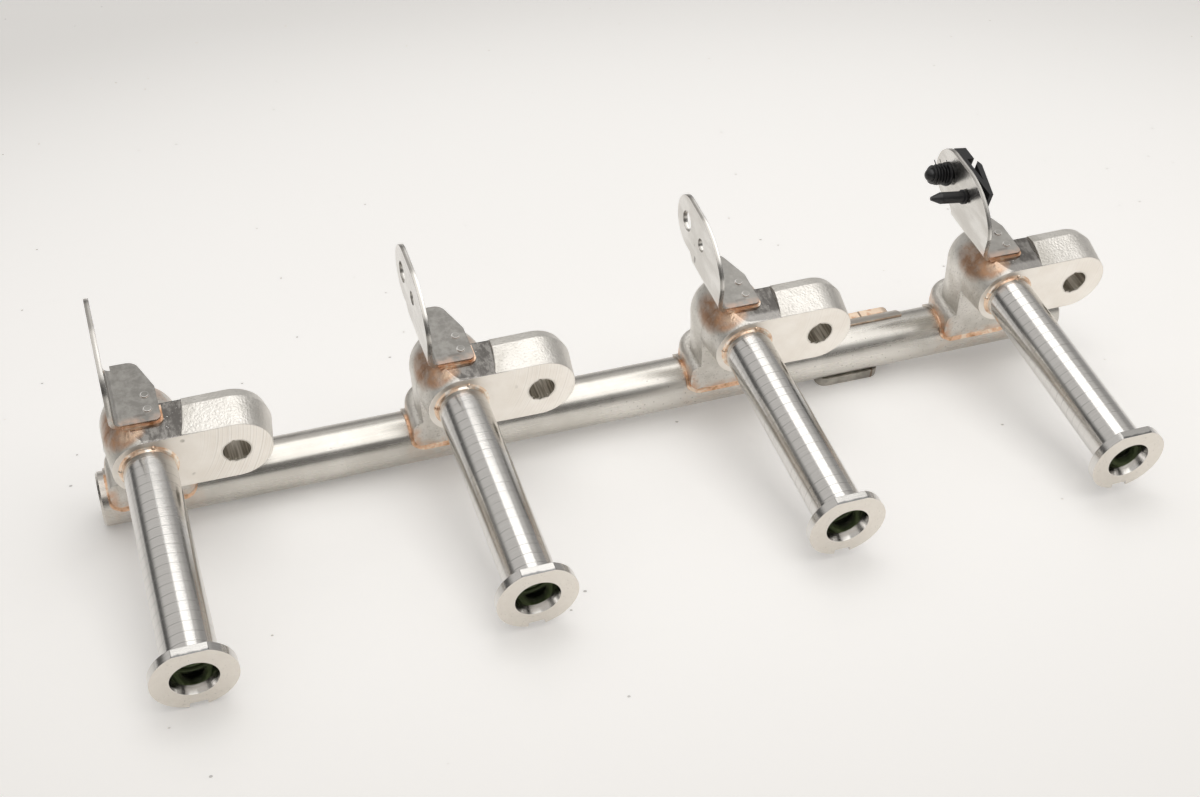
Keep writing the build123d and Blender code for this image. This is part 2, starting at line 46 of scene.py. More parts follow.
print("frame:", len(nodes), "nodes")


class Wire:  # one output of a shader node, usable in sums
    def __init__(self, tree, socket):
        self.tree = tree
        self.socket = socket

    def calc(self, operation, *terms):
        node = self.tree.nodes.new("ShaderNodeMath")
        node.operation = operation
        for inlet, term in zip(node.inputs, terms):
            plug(self.tree, inlet, term)
        return Wire(self.tree, node.outputs[0])

    def __add__(self, other):
        return self.calc("ADD", self, other)

    def __radd__(self, other):
        return self.calc("ADD", other, self)

    def __sub__(self, other):
        return self.calc("SUBTRACT", self, other)

    def __rsub__(self, other):
        return self.calc("SUBTRACT", other, self)

    def __mul__(self, other):
        return self.calc("MULTIPLY", self, other)

    def __rmul__(self, other):
        return self.calc("MULTIPLY", other, self)

    def __truediv__(self, other):
        return self.calc("DIVIDE", self, other)

    def __neg__(self):
        return self.calc("MULTIPLY", self, -1.0)

    def __abs__(self):
        return self.calc("ABSOLUTE", self)

    def __mod__(self, other):
        return self.calc("FLOORED_MODULO", self, other)

    def __pow__(self, other):
        return self.calc("POWER", self, other)

    def least(self, other):
        return self.calc("MINIMUM", self, other)

    def most(self, other):
        return self.calc("MAXIMUM", self, other)


def plug(tree, inlet, term):  # a link, a colour or a plain value
    if isinstance(term, Wire):
        tree.links.new(term.socket, inlet)
    elif inlet.type == "RGBA":
        inlet.default_value = (*term, 1.0)
    else:
        inlet.default_value = term


class Shader:  # a node tree and the few ways this file fills it
    def __init__(self, tree):
        self.tree = tree
        tree.nodes.clear()

    def node(self, kind, settings, inlets, out=0):
        node = self.tree.nodes.new(kind)
        for key, value in settings.items():
            setattr(node, key, value)
        for key, value in inlets.items():
            plug(self.tree, node.inputs[key], value)
        return Wire(self.tree, node.outputs[out])

    def close(self, kind, shade):  # an output node has no outlets of its own
        plug(self.tree, self.tree.nodes.new(kind).inputs[0], shade)

    def parts(self, vector):
        split = self.node("ShaderNodeSeparateXYZ", {}, {0: vector}).socket.node
        return [Wire(self.tree, outlet) for outlet in split.outputs]

    def step(self, value, start, end, low=0.0, high=1.0):
        return self.node("ShaderNodeMapRange", {"interpolation_type": "SMOOTHSTEP"},
                         {"Value": value, "From Min": start, "From Max": end, "To Min": low, "To Max": high})


class Finish(Shader):  # a material with the position already split
    def __init__(self, name):
        self.material = bpy.data.materials.new(name)
        self.material.use_nodes = True
        super().__init__(self.material.node_tree)
        self.place = self.node("ShaderNodeTexCoord", {}, {}, "Object")
        self.x, self.y, self.z = self.parts(self.place)
        half = layout["pitch"] / 2
        self.along = (self.x + (half - layout["firstCup"])) % layout["pitch"] - half  # x from the nearest cup axis

    def stretch(self, x, y, z):
        return self.node("ShaderNodeVectorMath", {"operation": "MULTIPLY"}, {0: self.place, 1: (x, y, z)})

    def facing(self):
        return self.parts(self.node("ShaderNodeNewGeometry", {}, {}, "Normal"))

    def noise(self, scale, detail=3.0, rough=0.55, at=None):
        return self.node("ShaderNodeTexNoise", {},
                         {"Vector": at or self.place, "Scale": scale, "Detail": detail, "Roughness": rough})

    def lines(self, reach, scale):
        return self.node("ShaderNodeTexNoise", {"noise_dimensions": "1D"}, {"W": reach, "Scale": scale, "Detail": 2.0})

    def cells(self, scale):
        return self.node("ShaderNodeTexVoronoi", {}, {"Vector": self.place, "Scale": scale}, "Distance")

    def spot(self, centre, size, soft):  # 1 inside a ball about a point given from the cup axis
        dx = (self.along - centre[0]) / size[0]
        dy = (self.y - centre[1]) / size[1]
        dz = (self.z - centre[2]) / size[2]
        return self.step(dx * dx + dy * dy + dz * dz, 1 + soft, 1 - soft)

    def overRail(self):  # how far a point stands over the line of sight past the rail
        return (self.y - layout["railY"]) * 1.09 + (self.z - layout["railZ"])

    def tint(self, first, second, share):
        return self.node("ShaderNodeMix", {"data_type": "RGBA"}, {0: share, 6: first, 7: second}, 2)

    def bump(self, height, depth, strength=1.0, edge=0.0):  # edge: radius that rounds sharp corners
        inlets = {"Height": height, "Distance": depth, "Strength": strength}
        if edge:
            inlets["Normal"] = self.node("ShaderNodeBevel", {"samples": 4}, {"Radius": edge})
        return self.node("ShaderNodeBump", {}, inlets)

    def surface(self, color, roughness, normal, metallic=1.0, **more):
        shade = self.node("ShaderNodeBsdfPrincipled", {},
                          {"Base Color": color, "Roughness": roughness, "Metallic": metallic, "Normal": normal, **more})
        self.close("ShaderNodeOutputMaterial", shade)
        return self.material


def dress(finish, *names):
    for name in names:
        slots = nodes[name].data.materials
        slots.clear()
        slots.append(finish)


def everyUnit(*kinds):
    return [f"{kind}_{n}" for kind in kinds for n in units]


railLook = {
    "low": (0.60, 0.575, 0.53), "high": (0.74, 0.715, 0.67),
    "pit": (0.30, 0.28, 0.25), "pitShare": 0.55,
    "rough": (0.22, 0.29),
    "bumpDepth": 0.00004,
    "copperEnds": (0.0168, 0.0138),  # copper haze beside each foot, from the cup axis
    "copperStop": (0.150, 0.135),  # none past the last foot
    "copperShare": 0.12,
}


def railFinish():
    skin = Finish("drawn tube")
    draw = skin.noise(1.0, 4.0, at=skin.stretch(14, 900, 900))
    cloud = skin.noise(38, 4.0, 0.6)
    color = skin.tint(railLook["low"], railLook["high"], skin.step(cloud, 0.35, 0.68))
    ends = skin.step(abs(skin.along), *railLook["copperEnds"]) * skin.step(skin.noise(260), 0.35, 0.62)
    ends = ends * skin.step(skin.x, *railLook["copperStop"])
    color = skin.tint(color, copper["mid"], ends * railLook["copperShare"])
    pits = skin.step(skin.cells(520), 0.20, 0.08) * skin.step(cloud, 0.46, 0.60)
    color = skin.tint(color, railLook["pit"], pits * railLook["pitShare"])
    rough = skin.step(draw, 0.3, 0.7, *railLook["rough"]) + skin.step(cloud, 0.4, 0.7) * 0.05
    height = draw * 0.4 + skin.noise(300) * 0.7 - pits * 0.8
    return skin.surface(color, rough, skin.bump(height, railLook["bumpDepth"], 0.5))


cupLook = {
    "low": (0.62, 0.60, 0.575), "high": (0.78, 0.77, 0.75),
    "ring": (0.26, 0.25, 0.24), "ringEvery": 3.5 * mm, "ringShare": 0.52,
    "ringWidth": (0.00013, 0.00004), "ringStop": (-0.0745, -0.0735), "ringDrift": 0.0009,
    "face": (0.76, 0.715, 0.65), "faceHigh": (0.84, 0.80, 0.74), "faceRough": 0.42,
    "dot": (0.34, 0.32, 0.29),
    "cut": (0.55, 0.54, 0.52), "cutEdge": (0.20, 0.20, 0.20),
    "cutAt": (0.01105, 0.01115), "cutLip": (-0.0774, -0.0781), "cutWander": 0.0012,
    "root": (-0.0050, -0.0008), "rootShare": 0.30,
    "rough": (0.11, 0.17),
    "bumpDepth": 0.000022, "edge": 0.00012,
}


def cupFinish():
    skin = Finish("turned tube")
    flat = skin.step(abs(skin.facing()[1]), 0.85, 0.97)  # flange faces
    turn = skin.noise(1.0, 3.0, at=skin.stretch(30, 5200, 30))
    every = cupLook["ringEvery"]
    drift = skin.noise(60, 2.0) * cupLook["ringDrift"]
    ring = skin.step(abs((skin.y + drift) % every - every / 2), *cupLook["ringWidth"])
    ring = ring * skin.step(skin.y, *cupLook["ringStop"])
    ring = ring * skin.step(skin.noise(75, 2.0), 0.30, 0.62)
    color = skin.tint(cupLook["low"], cupLook["high"], turn)
    color = skin.tint(color, cupLook["ring"], ring * cupLook["ringShare"])
    dots = skin.step(skin.cells(1500), 0.22, 0.10) * skin.step(skin.noise(500), 0.5, 0.62)
    face = skin.tint(cupLook["face"], cupLook["faceHigh"], skin.noise(700))
    color = skin.tint(color, skin.tint(face, cupLook["dot"], dots), flat)
    cut = skin.step(skin.z, *cupLook["cutAt"]) * (1 - flat)  # milled flat on the flange
    lip = skin.step(skin.y + skin.noise(600) * cupLook["cutWander"], *cupLook["cutLip"])
    color = skin.tint(color, skin.tint(cupLook["cut"], cupLook["cutEdge"], lip), cut)
    root = skin.step(skin.y, *cupLook["root"]) * skin.step(skin.noise(420), 0.42, 0.60)
    color = skin.tint(color, copper["mid"], root * cupLook["rootShare"])
    rough = skin.step(turn, 0.3, 0.7, *cupLook["rough"]) * (1 - flat) + flat * cupLook["faceRough"]
    height = turn * (1 - flat) + skin.noise(2600) * flat * 0.8 - ring
    return skin.surface(color, rough, skin.bump(height, cupLook["bumpDepth"], 0.7, edge=cupLook["edge"]))


blockLook = {
    "raw": (0.66, 0.635, 0.585), "rawHigh": (0.82, 0.795, 0.75),
    "grain": (0.40, 0.375, 0.34), "grainScale": 1350, "lumpScale": 480,
    "ear": (0.90, 0.875, 0.83), "earFrom": (0.013, 0.019), "earShare": 0.55,
    "face": (0.88, 0.83, 0.76), "faceHigh": (0.95, 0.91, 0.85), "faceAt": (0.00025, 0.00012),
    "arc": (0.97, 0.95, 0.91), "arcDark": (0.60, 0.56, 0.50),
    "arcLeft": 0.018, "arcHeight": 0.012, "arcScale": 2300.0,  # centre of the arcs, from the cup axis
    "arcNear": (0.012, 0.024), "arcFade": (-0.10, 0.0, 1.0, 0.3),
    "pock": (0.34, 0.31, 0.27), "pockShare": 0.6,
    "pad": (0.17, 0.16, 0.15), "padHigh": (0.36, 0.345, 0.325), "padHeight": 0.0108,
    "padGlint": (0.62, 0.60, 0.57), "padGlintAt": (0.0044, 0.0026), "padGlintFrom": (-0.02, 0.0), "padGlintShare": 0.7,
    "fleck": (0.98, 0.97, 0.95),
    "bumpDepth": 0.00021, "edge": 0.00050,
}
heat = {  # what the torch left: centre from the cup axis, half sizes and softness of each patch
    "brownTone": (0.42, 0.23, 0.13),
    "brown": ((-0.0092, 0.0115, 0.0085), (0.0050, 0.0075, 0.0060), 0.75),  # behind the bend
    "warm": ((0.0062, 0.0235, 0.0080), (0.0046, 0.0075, 0.0050), 0.7),  # behind the bracket's foot
    "run": ((-0.0062, 0.0050, 0.0100), (0.0062, 0.0040, 0.0042), 0.6),  # copper that ran out in front
    "bright": ((-0.0045, 0.0052, 0.0108), (0.0042, 0.0026, 0.0024), 0.6),
    "seam": (-0.0238, -0.0272), "seamShare": 0.45,  # along the lower edge of the foot
    "leftX": (-0.0095, -0.0122), "leftZ": (-0.0165, -0.0215), "leftShare": 0.65,
    "rightX": (0.0100, 0.0128), "rightZ": (-0.0195, -0.0240), "rightShare": 0.5,
}


def heatTint(skin, color, away):
    patchy = skin.step(skin.noise(300, 3.0, 0.6), 0.30, 0.62)
    brown = skin.spot(*heat["brown"]) * away
    color = skin.tint(color, heat["brownTone"], brown * (patchy * 0.4 + 0.50))
    warm = skin.spot(*heat["warm"]) * skin.step(skin.noise(170, 3.0), 0.40, 0.60)
    color = skin.tint(color, copper["mid"], warm * 0.38)
    run = skin.spot(*heat["run"]) * away
    color = skin.tint(color, copper["mid"], run * (patchy * 0.4 + 0.45))
    bright = skin.spot(*heat["bright"]) * away
    color = skin.tint(color, copper["pale"], bright * patchy * 0.9)
    seam = skin.step(skin.z, *heat["seam"]) * patchy
    color = skin.tint(color, copper["mid"], seam * heat["seamShare"])
    for side in ("left", "right"):
        edge = skin.step(skin.along, *heat[side + "X"]) * skin.step(skin.z, *heat[side + "Z"]) * patchy
        color = skin.tint(color, copper["mid"], edge * heat[side + "Share"])
    return color


def blockFinish():
    skin = Finish("blasted forging")
    ny, nz = skin.facing()[1:]
    front = skin.step(skin.y, *blockLook["faceAt"]) * skin.step(-ny, 0.9, 0.98)
    pad = skin.step(nz, 0.985, 0.996) * skin.step(abs(skin.z - blockLook["padHeight"]), 0.00012, 0.00005)
    plain = (1 - front) * (1 - pad)
    grain = skin.noise(blockLook["grainScale"], 2.0, 0.5)
    lumps = skin.noise(blockLook["lumpScale"], 2.0, 0.5) * 0.3 + grain
    cloud = skin.noise(95, 4.0, 0.6)
    color = skin.tint(blockLook["raw"], blockLook["rawHigh"], skin.step(cloud, 0.35, 0.65))
    color = skin.tint(color, blockLook["grain"], skin.step(grain, 0.42, 0.30) * 0.5)
    # the ear is lighter: partly its own blasted tone, partly painted light where its back draft mirrors the dim room
    color = skin.tint(color, blockLook["ear"], skin.step(skin.along, *blockLook["earFrom"]) * blockLook["earShare"])
    # face milling leaves wide arcs, strongest about the bolt hole
    u, v = skin.along + blockLook["arcLeft"], skin.z - blockLook["arcHeight"]
    arcs = skin.lines((u * u + v * v) ** 0.5, blockLook["arcScale"])
    near = skin.step(skin.along, *blockLook["arcNear"]) * skin.step(skin.x, *blockLook["arcFade"])
    faceColor = skin.tint(blockLook["face"], blockLook["faceHigh"], skin.step(cloud, 0.3, 0.7))
    faceColor = skin.tint(faceColor, blockLook["arc"], skin.step(arcs, 0.50, 0.66) * near * 0.6)
    faceColor = skin.tint(faceColor, blockLook["arcDark"], skin.step(arcs, 0.46, 0.34) * near * 0.35)
    pocks = skin.step(skin.cells(210), 0.20, 0.10) * skin.step(skin.noise(130, 1.0), 0.60, 0.70)
    faceColor = skin.tint(faceColor, blockLook["pock"], pocks * blockLook["pockShare"])
    # the milled pad is smeared, with bright flecks; its dark tone is a painted reflection of the dim room
    swirl = skin.noise(420, 5.0, 0.7, at=skin.stretch(1.0, 0.45, 1.0))
    padColor = skin.tint(blockLook["pad"], blockLook["padHigh"], skin.step(swirl, 0.42, 0.62))
    flecks = skin.step(skin.cells(900), 0.20, 0.08) * skin.step(skin.noise(300), 0.54, 0.64)
    padColor = skin.tint(padColor, blockLook["fleck"], flecks)
    # painted highlight: the chamfer in front of the pad is lightened where it catches the light
    glint = skin.step(skin.y, *blockLook["padGlintAt"]) * skin.step(skin.x, *blockLook["padGlintFrom"])
    padColor = skin.tint(padColor, blockLook["padGlint"], glint * blockLook["padGlintShare"])
    color = skin.tint(color, padColor, pad)
    color = skin.tint(color, faceColor, front)
    color = heatTint(skin, color, 1 - front)
    rough = plain * (0.38 + 0.10 * grain) + front * (0.36 + 0.10 * cloud) + pad * 0.18
    height = lumps * plain + arcs * front * near * 0.14 + swirl * pad * 0.05 - pocks * front * 0.3
    return skin.surface(color, rough, skin.bump(height, blockLook["bumpDepth"], 0.9, edge=blockLook["edge"]))


bracketLook = {
    "dull": (0.29, 0.28, 0.262), "dullHigh": (0.42, 0.408, 0.385),
    "smudge": (0.17, 0.163, 0.152), "smudgeShare": 0.5,
    "baseReflectionAlong": (-0.03, 0.06), "baseReflectionShare": 0.35,  # painted reflection: the base is lighter towards the long end
    "low": (0.62, 0.60, 0.565), "high": (0.78, 0.765, 0.735),
    "baseTop": (0.0165, 0.0142),
    "pipHighlight": (1.0, 0.99, 0.97), "pipX": 0.00285, "pipRows": (0.0119, 0.0180), "pipRadius": 0.00122, "pipHighlightShare": 0.75,
    "shear": (0.60, 0.40, 0.28), "shearShare": 0.85,
    "fracture": (0.36, 0.345, 0.32), "fractureShare": 0.75,
    "blush": (0.80, 0.56, 0.44), "blushShare": 0.55,
    "mark": (0.12, 0.10, 0.09), "pitShare": 0.8,
    "dashShare": 0.3, "slotShare": 0.6,
    "bumpDepth": 0.00004, "edge": 0.00022,
}


def bracketFinish():
    skin = Finish("pressed sheet")
    nx, nz = skin.facing()[::2]
    base = skin.step(skin.z, *bracketLook["baseTop"])
    top = skin.step(nz, 0.8, 0.95) * base
    streak = skin.noise(1.0, 4.0, at=skin.stretch(900, 60, 160))
    cloud = skin.noise(240, 5.0, 0.68)
    dull = skin.tint(bracketLook["dull"], bracketLook["dullHigh"], skin.step(cloud, 0.36, 0.66))
    smudge = skin.step(skin.noise(120, 3.0), 0.60, 0.74)
    dull = skin.tint(dull, bracketLook["smudge"], smudge * bracketLook["smudgeShare"])
    bright = skin.tint(bracketLook["low"], bracketLook["high"], skin.step(streak, 0.35, 0.65))
    pits = skin.step(skin.cells(330), 0.13, 0.06) * skin.step(skin.noise(150, 1.0), 0.60, 0.68)
    bright = skin.tint(bright, bracketLook["mark"], pits * bracketLook["pitShare"])
    # painted reflection: the dull base top is lightened towards the far brackets
    baseReflection = skin.step(skin.x, *bracketLook["baseReflectionAlong"]) * bracketLook["baseReflectionShare"]
    dull = skin.tint(dull, bracketLook["low"], baseReflection)
    for row in bracketLook["pipRows"]:  # painted highlight: a bright crescent on the rim of each raised pip, strongest on its front left side
        dx, dy = skin.along - bracketLook["pipX"], skin.y - row
        off = (dx * dx + dy * dy) ** 0.5 - bracketLook["pipRadius"]
        rim = skin.step(abs(off), 0.00026, 0.00012) * skin.step(dx + dy, 0.0010, -0.0004, 0.25, 1.0)
        dull = skin.tint(dull, bracketLook["pipHighlight"], rim * bracketLook["pipHighlightShare"])
    color = skin.tint(bright, dull, top)
    sides = skin.step(abs(nz), 0.5, 0.2) * skin.step(skin.z, 0.0135, 0.0120) * skin.step(skin.along, -0.0068, -0.0050)
    color = skin.tint(color, bracketLook["shear"], sides * bracketLook["shearShare"])
    torn = skin.step(abs(nx), 0.6, 0.3) * skin.step(skin.z, 0.0160, 0.0180) * skin.step(skin.along, -0.0080, -0.0084)
    color = skin.tint(color, bracketLook["fracture"], torn * bracketLook["fractureShare"])
    blush = skin.step(skin.z, 0.0185, 0.0125) * skin.step(skin.y, 0.0105, 0.0072)
    blush = blush * skin.step(skin.noise(300), 0.35, 0.6)
    color = skin.tint(color, bracketLook["blush"], blush * bracketLook["blushShare"])
    dash = skin.step(abs(skin.y - 0.0098), 0.0007, 0.0003) * skin.step(abs(skin.along - 0.0002), 0.0022, 0.0015)
    color = skin.tint(color, bracketLook["mark"], dash * top * bracketLook["dashShare"])
    slot = skin.step(abs(skin.y - 0.0285), 0.0008, 0.0005) * skin.step(abs(skin.z - 0.0160), 0.0013, 0.0010)
    slot = slot * skin.step(abs(skin.x - 0.013), 0.010, 0.009)  # on the third bracket alone
    color = skin.tint(color, bracketLook["mark"], slot * bracketLook["slotShare"])
    rough = top * (0.36 + 0.16 * cloud) + (1 - top) * (0.19 + 0.10 * streak)
    height = cloud * 0.4 + streak * 0.4
    return skin.surface(color, rough, skin.bump(height, bracketLook["bumpDepth"], 0.5, edge=bracketLook["edge"]))


brazeLook = {
    "cup": {"dark": (0.60, 0.38, 0.25), "mid": (0.84, 0.64, 0.48), "pale": (0.93, 0.86, 0.77)},
    "foot": {"dark": (0.54, 0.30, 0.17), "mid": (0.84, 0.55, 0.37), "pale": (0.94, 0.77, 0.62)},
    "bracket": {"dark": (0.60, 0.34, 0.20), "mid": (0.92, 0.66, 0.48), "pale": (0.98, 0.87, 0.75)},
    "bareOver": (0.0100, 0.0113), "bareShare": 0.9,
    "bumpDepth": 0.00018,
}


def brazeFinish(which):
    tones = brazeLook[which]
    skin = Finish(f"copper braze, {which}")
    flow = skin.noise(310, 4.0, 0.6)
    fine = skin.noise(1500, 2.0)
    color = skin.tint(tones["dark"], tones["mid"], skin.step(flow, 0.34, 0.48))
    color = skin.tint(color, tones["pale"], skin.step(flow, 0.50, 0.62))
    if which == "foot":  # bare metal where the film thins out over the top of the rail
        bare = skin.step(skin.overRail(), *brazeLook["bareOver"])
        color = skin.tint(color, railLook["low"], bare * brazeLook["bareShare"])
    return skin.surface(color, 0.22 + 0.22 * fine, skin.bump(flow + fine * 0.4, brazeLook["bumpDepth"], 0.8))


sleeveLook = {"low": (0.42, 0.385, 0.33), "high": (0.82, 0.78, 0.71), "rim": (0.72, 0.69, 0.63), "bumpDepth": 0.00006}


def sleeveFinish():
    skin = Finish("rolled sleeve")
    stripe = skin.noise(1.0, 2.0, at=skin.stretch(1300, 60, 1300))
    color = skin.tint(sleeveLook["low"], sleeveLook["high"], skin.step(stripe, 0.35, 0.65))
    color = skin.tint(color, sleeveLook["rim"], skin.step(skin.y, 0.0004, 0.0001))
    return skin.surface(color, 0.42 + 0.15 * stripe, skin.bump(stripe, sleeveLook["bumpDepth"], 0.6))


sealLook = {"low": (0.075, 0.115, 0.045), "high": (0.26, 0.34, 0.15), "ridgeEvery": 0.9 * mm, "bumpDepth": 0.00018}


def sealFinish():
    skin = Finish("green seal")
    mottle = skin.noise(900)
    reach = (skin.along * skin.along + skin.z * skin.z) ** 0.5
    every = sealLook["ridgeEvery"]
    ridge = skin.step(abs(reach % every - every / 2), 0.00030, 0.00005)
    color = skin.tint(sealLook["low"], sealLook["high"], mottle * 0.5 + ridge * 0.5)
    bump = skin.bump(mottle * 0.3 + ridge, sealLook["bumpDepth"], 0.8)
    return skin.surface(color, 0.22 + 0.2 * mottle, bump, metallic=0.0)


clipLook = {"low": (0.010, 0.010, 0.011), "high": (0.030, 0.030, 0.032), "bumpDepth": 0.00006, "edge": 0.00015}


def clipFinish():
    skin = Finish("black nylon")
    mottle = skin.noise(700, 3.0)
    color = skin.tint(clipLook["low"], clipLook["high"], mottle)
    bump = skin.bump(mottle, clipLook["bumpDepth"], 0.5, edge=clipLook["edge"])
    return skin.surface(color, 0.26 + 0.22 * mottle, bump, metallic=0.0)


plugLook = {
    "low": (0.76, 0.735, 0.69), "high": (0.90, 0.88, 0.84),
    "seam": (0.0060, 0.0066), "seamShare": 0.15,  # copper at the rim, from the rail's axis
    "turnScale": 2600.0, "bumpDepth": 0.00004,
}


def plugFinish():
    skin = Finish("turned plug")
    dy, dz = skin.y - layout["railY"], skin.z - layout["railZ"]
    reach = (dy * dy + dz * dz) ** 0.5
    turn = skin.lines(reach, plugLook["turnScale"])
    color = skin.tint(plugLook["low"], plugLook["high"], turn)
    seam = skin.step(reach, *plugLook["seam"]) * skin.step(skin.noise(500), 0.35, 0.6)
    color = skin.tint(color, copper["mid"], seam * plugLook["seamShare"])
    return skin.surface(color, 0.22 + 0.15 * turn, skin.bump(turn, plugLook["bumpDepth"], 0.6))


portLook = {
    "low": (0.34, 0.32, 0.285), "high": (0.56, 0.53, 0.48),
    "lip": (0.97, 0.78, 0.61), "lipDark": (0.80, 0.50, 0.33), "lipFrom": (-0.0264, -0.0256),
    "endShadeAndLine": (0.20, 0.13, 0.09), "endShadeAndLineShare": 0.8, "endShadeFrom": (0.0900, 0.0915), "darkLineX": 0.0800,
    "bumpDepth": 0.00018, "edge": 0.00020,
}


def portFinish():
    skin = Finish("forged inlet")
    grain = skin.noise(800, 3.0, 0.6)
    cloud = skin.noise(160, 4.0, 0.6)
    color = skin.tint(portLook["low"], portLook["high"], skin.step(cloud, 0.35, 0.65))
    lip = skin.tint(portLook["lipDark"], portLook["lip"], skin.step(skin.noise(330, 3.0), 0.36, 0.52))
    color = skin.tint(color, lip, skin.step(skin.z, *portLook["lipFrom"]))
    # painted shade on the inlet's right end face, and a dark line across the inlet at x 80 mm
    endShadeAndLine = skin.step(skin.x, *portLook["endShadeFrom"]) + skin.step(abs(skin.x - portLook["darkLineX"]), 0.0005, 0.0002)
    color = skin.tint(color, portLook["endShadeAndLine"], endShadeAndLine.least(1.0) * portLook["endShadeAndLineShare"])
    bump = skin.bump(grain, portLook["bumpDepth"], 0.7, edge=portLook["edge"])
    return skin.surface(color, 0.32 + 0.16 * grain, bump)


finishes = {
    "rail": railFinish(), "plug": plugFinish(), "port": portFinish(), "clip": clipFinish(),
    "block": blockFinish(), "cup": cupFinish(), "seal": sealFinish(), "sleeve": sleeveFinish(),
    "bracket": bracketFinish(),
    "cupBraze": brazeFinish("cup"), "footBraze": brazeFinish("foot"), "bracketBraze": brazeFinish("bracket"),
}
dress(finishes["rail"], "rail_tube")
dress(finishes["plug"], "rail_plug_left", "rail_plug_right")
dress(finishes["port"], "port_block")
dress(finishes["clip"], "harness_clip")
dress(finishes["footBraze"], "port_braze", *everyUnit("foot_braze"))
dress(finishes["cupBraze"], *everyUnit("cup_braze"))
dress(finishes["bracketBraze"], *everyUnit("bracket_braze"))
dress(finishes["block"], *everyUnit("mounting_block"))
dress(finishes["cup"], *everyUnit("injector_cup"))
dress(finishes["seal"], *everyUnit("cup_seal"))
dress(finishes["sleeve"], *everyUnit("bolt_sleeve"))
dress(finishes["bracket"], *everyUnit("harness_bracket"))
print("finishes:", len(finishes))


def makePiece(name, mesh, finish):
    bmesh.ops.recalc_face_normals(mesh, faces=mesh.faces)
    data = bpy.data.meshes.new(name)
    mesh.to_mesh(data)
    mesh.free()
    for face in data.polygons:
        face.use_smooth = True
    piece = bpy.data.objects.new(name, data)
    bpy.context.scene.collection.objects.link(piece)
    data.materials.append(finishes[finish])
    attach(piece, "root")


def sweep(mesh, path, radii, sides):  # round bar of changing radius along a list of points
    rings = []
    last = len(path) - 1
    for i, point in enumerate(path):
        along = (path[min(i + 1, last)] - path[max(i - 1, 0)]).normalized()
        side = along.orthogonal() if i == 0 else side - along * side.dot(along)
        side.normalize()
        lift = along.cross(side)
        ring = []
        for k in range(sides):
            a = 2 * math.pi * k / sides
            ring.append(mesh.verts.new(point + (side * math.cos(a) + lift * math.sin(a)) * radii[i]))
        rings.append(ring)
    for low, high in zip(rings, rings[1:]):
        for k in range(sides):
            mesh.faces.new((low[k], low[(k + 1) % sides], high[(k + 1) % sides], high[k]))
    mesh.faces.new(rings[0][::-1])
    mesh.faces.new(rings[-1])


footRun = {
    "radius": 0.52 * mm, "wander": 0.22 * mm, "tip": 0.25, "taper": 6,  # tip: share of the radius left at the ends
    "halfWidth": 13.05 * mm, "corner": 3.0 * mm, "cornerSteps": 9,
    "seat": 8.95 * mm,  # radius about the rail's axis
    "startAngle": 34, "endAngle": 88, "dip": 14,  # up the front of the rail, in degrees from straight ahead
    "frontAngle": 20.3, "ripple": 0.9, "rippleScale": 900,
    "step": 0.35 * mm, "sides": 10,
}


def onRail(x, angle):
    a = math.radians(angle)
    return Vector((x, layout["railY"] - footRun["seat"] * math.cos(a), layout["railZ"] + footRun["seat"] * math.sin(a)))


def footPath(n, x):  # over the top on both sides and along the front
    half, corner, start = footRun["halfWidth"], footRun["corner"], footRun["startAngle"]
    bend = [math.radians(10 * i) for i in range(footRun["cornerSteps"])]
    points = [onRail(x - half, a) for a in range(footRun["endAngle"], start, -2)]
    points += [onRail(x - half + corner * (1 - math.cos(a)), start - footRun["dip"] * math.sin(a)) for a in bend]
    reach = -half + corner
    while reach < half - corner:
        angle = footRun["frontAngle"] + footRun["ripple"] * math.sin(reach * footRun["rippleScale"] + n)
        points.append(onRail(x + reach, angle))
        reach += footRun["step"]
    points += [onRail(x + half - corner * (1 - math.cos(a)), start - footRun["dip"] * math.sin(a)) for a in bend[::-1]]
    points += [onRail(x + half, a) for a in range(start + 2, footRun["endAngle"] + 1, 2)]
    return points


def copperRuns():  # the uneven bead where each foot sits on the rail
    for n, x in zip(units, cupX):
        mesh = bmesh.new()
        points = footPath(n, x)
        level, radii = 0.5, []
        for i in range(len(points)):
            level += (random.random() - 0.5) * 0.5
            level = min(max(level, 0.0), 1.0)
            taper = min(1.0, i / footRun["taper"], (len(points) - 1 - i) / footRun["taper"])
            share = footRun["tip"] + (1 - footRun["tip"]) * taper
            radii.append((footRun["radius"] + footRun["wander"] * (level - 0.5) * 2) * share)
        near = [radii[max(0, i - 2):i + 3] for i in range(len(radii))]
        sweep(mesh, points, [sum(some) / len(some) for some in near], footRun["sides"])
        makePiece(f"copper_run_{n}", mesh, "footBraze")


stud = {  # millimetres, on the clip in the last bracket
    "place": (110.5, 37.8, 25.0), "lean": 8.0,  # lean in degrees
    "first": 2.75, "pitch": 1.1, "count": 6,
    "root": 2.2, "tip": 3.95, "shrink": 0.035, "thick": 0.14, "wave": 0.16, "waves": 5, "sides": 48,
    "strands": 5, "strandRoot": 3.3, "strandTip": 5.3, "strandWidth": 0.03, "strandLean": 1.3, "strandSpread": 0.25,
}


